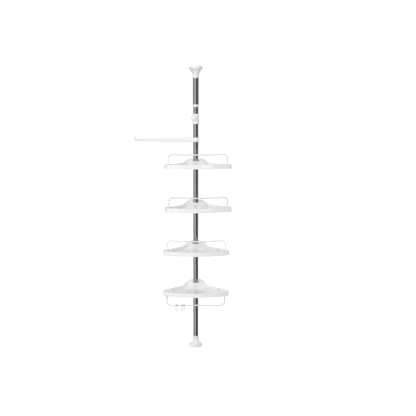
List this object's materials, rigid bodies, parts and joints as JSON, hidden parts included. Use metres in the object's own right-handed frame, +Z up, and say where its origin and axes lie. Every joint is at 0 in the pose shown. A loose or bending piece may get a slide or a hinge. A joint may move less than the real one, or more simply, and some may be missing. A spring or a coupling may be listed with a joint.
{
  "type": "tension pole corner shelf unit",
  "caption": "Slim polished pole clamped between floor and ceiling by a sprung upper sleeve, carrying white corner trays with wire rails, a swing arm, a knob and S hooks.",
  "frame": {"origin": "centre of the foot pad's underside, on the pole's axis", "axes": "+Z up the pole to the ceiling, -Y into the room, +Y to the wall corner, +X to the right seen from the room"},
  "size_m": [0.4733, 0.2326, 1.4],
  "materials": {
    "polished_stainless": "drawn and polished stainless steel tube",
    "white_abs": "injection moulded white ABS, polished tool",
    "white_coated_wire": "steel wire with a white dip coating",
    "grip_rubber": "pale non-marking rubber, matt",
    "nylon": "natural nylon",
    "spring_steel": "plated spring wire"
  },
  "bodies": {
    "mast": {"foot_pad": "grip_rubber", "foot_cup": "white_abs", "pole_lower": "polished_stainless", "pole_middle": "polished_stainless", "pole_upper": "polished_stainless", "pole_joiner_lower": "nylon", "pole_joiner_upper": "nylon", "slide_bushing": "nylon", "spring_seat": "nylon"},
    "head": {"outer_tube": "polished_stainless", "tube_collar": "white_abs", "ceiling_cup": "white_abs", "ceiling_pad": "grip_rubber", "tension_spring": "spring_steel"},
    "hook": {"hook_collar_front": "white_abs", "hook_collar_rear": "white_abs", "hook_peg": "white_abs"},
    "arm_grip": {"arm_grip_front": "white_abs", "arm_grip_rear": "white_abs"},
    "arm": {"towel_arm": "white_abs"},
    "collet_1": {"collet_front_1": "white_abs", "collet_rear_1": "white_abs"},
    "shelf_1": {"tray_1": "white_abs", "rail_1": "white_coated_wire"},
    "collet_2": {"collet_front_2": "white_abs", "collet_rear_2": "white_abs"},
    "shelf_2": {"tray_2": "white_abs", "rail_2": "white_coated_wire"},
    "collet_3": {"collet_front_3": "white_abs", "collet_rear_3": "white_abs"},
    "shelf_3": {"tray_3": "white_abs", "rail_3": "white_coated_wire"},
    "collet_4": {"collet_front_4": "white_abs", "collet_rear_4": "white_abs"},
    "shelf_4": {"tray_4": "white_abs", "rail_4": "white_coated_wire"},
    "s_hook_1": {"s_hook_1": "white_coated_wire"},
    "s_hook_2": {"s_hook_2": "white_coated_wire"},
    "s_hook_3": {"s_hook_3": "white_coated_wire"}
  },
  "joints": [
    {"name": "head_slide", "type": "slide", "parent": "mast", "child": "head", "axis": [0, 0, 1], "range_m": [-0.03, 0], "stiffness_N_per_m": 1500, "springref_m": 0.03, "deforming": ["tension_spring"]},
    {"name": "hook_swivel", "type": "hinge", "parent": "mast", "child": "hook", "pos_m": [0, 0, 1.1475], "axis": [0, 0, 1], "continuous": true},
    {"name": "arm_slide", "type": "slide", "parent": "mast", "child": "arm_grip", "axis": [0, 0, 1], "range_m": [-0.02, 0.03]},
    {"name": "arm_swivel", "type": "hinge", "parent": "arm_grip", "child": "arm", "pos_m": [0, 0, 1.047], "axis": [0, 0, 1], "continuous": true},
    {"name": "shelf_1_slide", "type": "slide", "parent": "mast", "child": "collet_1", "axis": [0, 0, 1], "range_m": [-0.055, 0.03]},
    {"name": "shelf_1_swivel", "type": "hinge", "parent": "collet_1", "child": "shelf_1", "pos_m": [0, 0, 0.9344], "axis": [0, 0, 1], "continuous": true},
    {"name": "shelf_2_slide", "type": "slide", "parent": "mast", "child": "collet_2", "axis": [0, 0, 1], "range_m": [-0.055, 0.055]},
    {"name": "shelf_2_swivel", "type": "hinge", "parent": "collet_2", "child": "shelf_2", "pos_m": [0, 0, 0.7292], "axis": [0, 0, 1], "continuous": true},
    {"name": "shelf_3_slide", "type": "slide", "parent": "mast", "child": "collet_3", "axis": [0, 0, 1], "range_m": [-0.06, 0.055]},
    {"name": "shelf_3_swivel", "type": "hinge", "parent": "collet_3", "child": "shelf_3", "pos_m": [0, 0, 0.5208], "axis": [0, 0, 1], "continuous": true},
    {"name": "shelf_4_slide", "type": "slide", "parent": "mast", "child": "collet_4", "axis": [0, 0, 1], "range_m": [-0.1, 0.06]},
    {"name": "shelf_4_swivel", "type": "hinge", "parent": "collet_4", "child": "shelf_4", "pos_m": [0, 0, 0.3222], "axis": [0, 0, 1], "continuous": true},
    {"name": "s_hook_1_swing", "type": "hinge", "parent": "shelf_4", "child": "s_hook_1", "pos_m": [-0.094, -0.13942, 0.25], "axis": [0.994, -0.1017, 0.0395], "range_deg": [-60, 60]},
    {"name": "s_hook_2_swing", "type": "hinge", "parent": "shelf_4", "child": "s_hook_2", "pos_m": [-0.0675, -0.14175, 0.25091], "axis": [0.9969, -0.0731, 0.0284], "range_deg": [-60, 60]},
    {"name": "s_hook_3_swing", "type": "hinge", "parent": "shelf_4", "child": "s_hook_3", "pos_m": [-0.057, -0.14246, 0.25118], "axis": [0.9978, -0.0617, 0.024], "range_deg": [-60, 60]}
  ]
}
